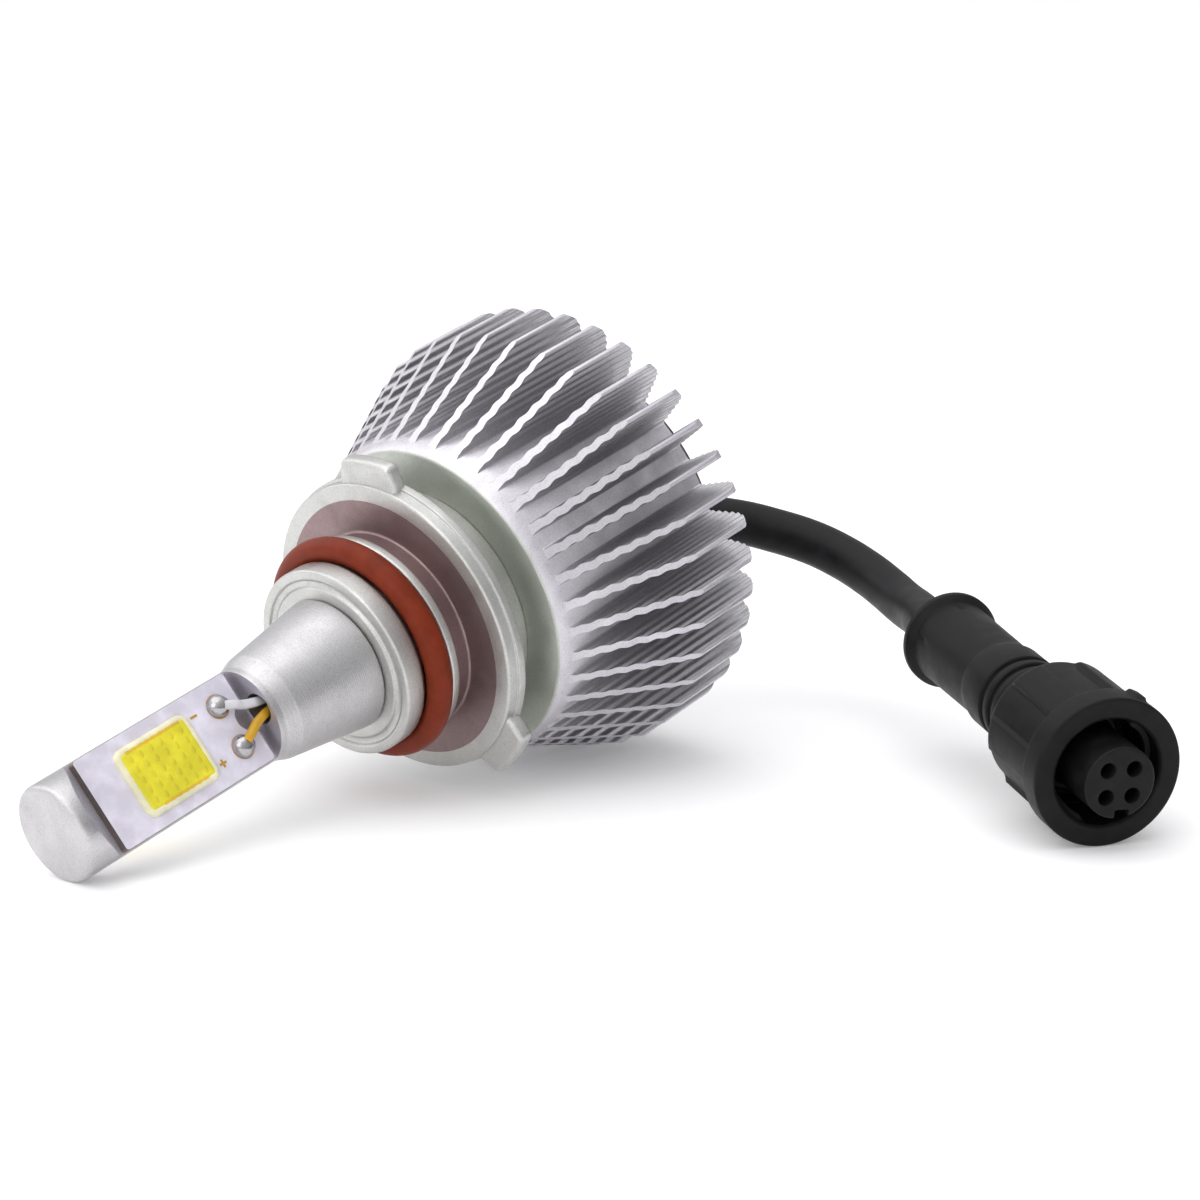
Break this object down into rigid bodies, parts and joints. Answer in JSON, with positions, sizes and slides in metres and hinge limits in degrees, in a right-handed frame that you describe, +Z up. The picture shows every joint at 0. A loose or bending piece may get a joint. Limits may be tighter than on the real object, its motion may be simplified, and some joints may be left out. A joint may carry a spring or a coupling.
{
  "type": "headlight bulb",
  "caption": "LED headlight bulb: post with two light boards, three-lug sealed base, rippled-fin heat sink with fan, short cable and round plug.",
  "frame": {"origin": "bottom centre of the lamp's box, on the surface it lies on; the lamp is post, base, heat sink and rear cover, without the free cable and plug", "axes": "+X from the tip towards the rear cover along the surface, +Z up, +Y completes the right-handed frame, away from the plug"},
  "size_m": [0.1074, 0.0926, 0.0469],
  "materials": {
    "machined_aluminium": "fine turned, satin",
    "board_white": "solder mask, satin",
    "phosphor_yellow": "silicone, satin",
    "solder": "shiny solder",
    "wire_yellow": "wire insulation",
    "wire_white": "wire insulation",
    "cast_base_alloy": "turned, fine satin",
    "silicone_red": "smooth silicone",
    "steel_dark": "black oxide",
    "extruded_aluminium": "etched and turned",
    "fan_plastic": "moulded",
    "ferrite": "dull",
    "steel_bright": "ground",
    "clip_nylon": "natural nylon",
    "bearing_bronze": "sintered",
    "core_steel": "laminated",
    "copper_coil": "enamelled wire",
    "board_green": "solder mask",
    "wire_red": "wire insulation",
    "steel_zinc": "zinc plated",
    "cover_plastic": "fine moulded grain",
    "grommet_rubber": "matte rubber",
    "cable_jacket": "satin jacket",
    "plug_plastic": "moulded",
    "insert_plastic": "moulded",
    "contact_gold": "gold flash",
    "seal_rubber": "smooth"
  },
  "bodies": {
    "bulb": {"lamp_post": "machined_aluminium", "led_board_front": "board_white", "led_board_back": "board_white", "light_field_front": "phosphor_yellow", "light_field_back": "phosphor_yellow", "solder_joints": "solder", "yellow_lead_wires": "wire_yellow", "white_lead_wires": "wire_white", "socket_base": "cast_base_alloy", "sealing_ring": "silicone_red", "base_set_screw": "steel_dark", "heat_sink": "extruded_aluminium", "fan_frame": "fan_plastic", "shaft_bearing": "bearing_bronze", "stator_core": "core_steel", "stator_coils": "copper_coil", "fan_circuit_board": "board_green", "fan_lead_wires": "wire_red", "fan_screws": "steel_zinc", "rear_cover": "cover_plastic", "cable_grommet": "grommet_rubber", "cable_tail": "cable_jacket", "cable": "cable_jacket", "plug_boot": "plug_plastic", "plug_barrel": "plug_plastic", "plug_insert": "insert_plastic", "plug_contacts": "contact_gold", "plug_seal": "seal_rubber"},
    "fan_wheel": {"fan_rotor": "fan_plastic", "rotor_magnet": "ferrite", "fan_shaft": "steel_bright", "shaft_clip": "clip_nylon"},
    "nut": {"coupling_nut": "plug_plastic"}
  },
  "joints": [
    {"name": "fan_spin", "type": "hinge", "parent": "bulb", "child": "fan_wheel", "pos_m": [0.02991, 0, 0.02399], "axis": [0.9629, 0, 0.2697], "continuous": true},
    {"name": "nut_turn", "type": "hinge", "parent": "bulb", "child": "nut", "pos_m": [0.035, -0.0652, 0.00749], "axis": [0.5038, 0.8552, 0.1219], "continuous": true}
  ]
}
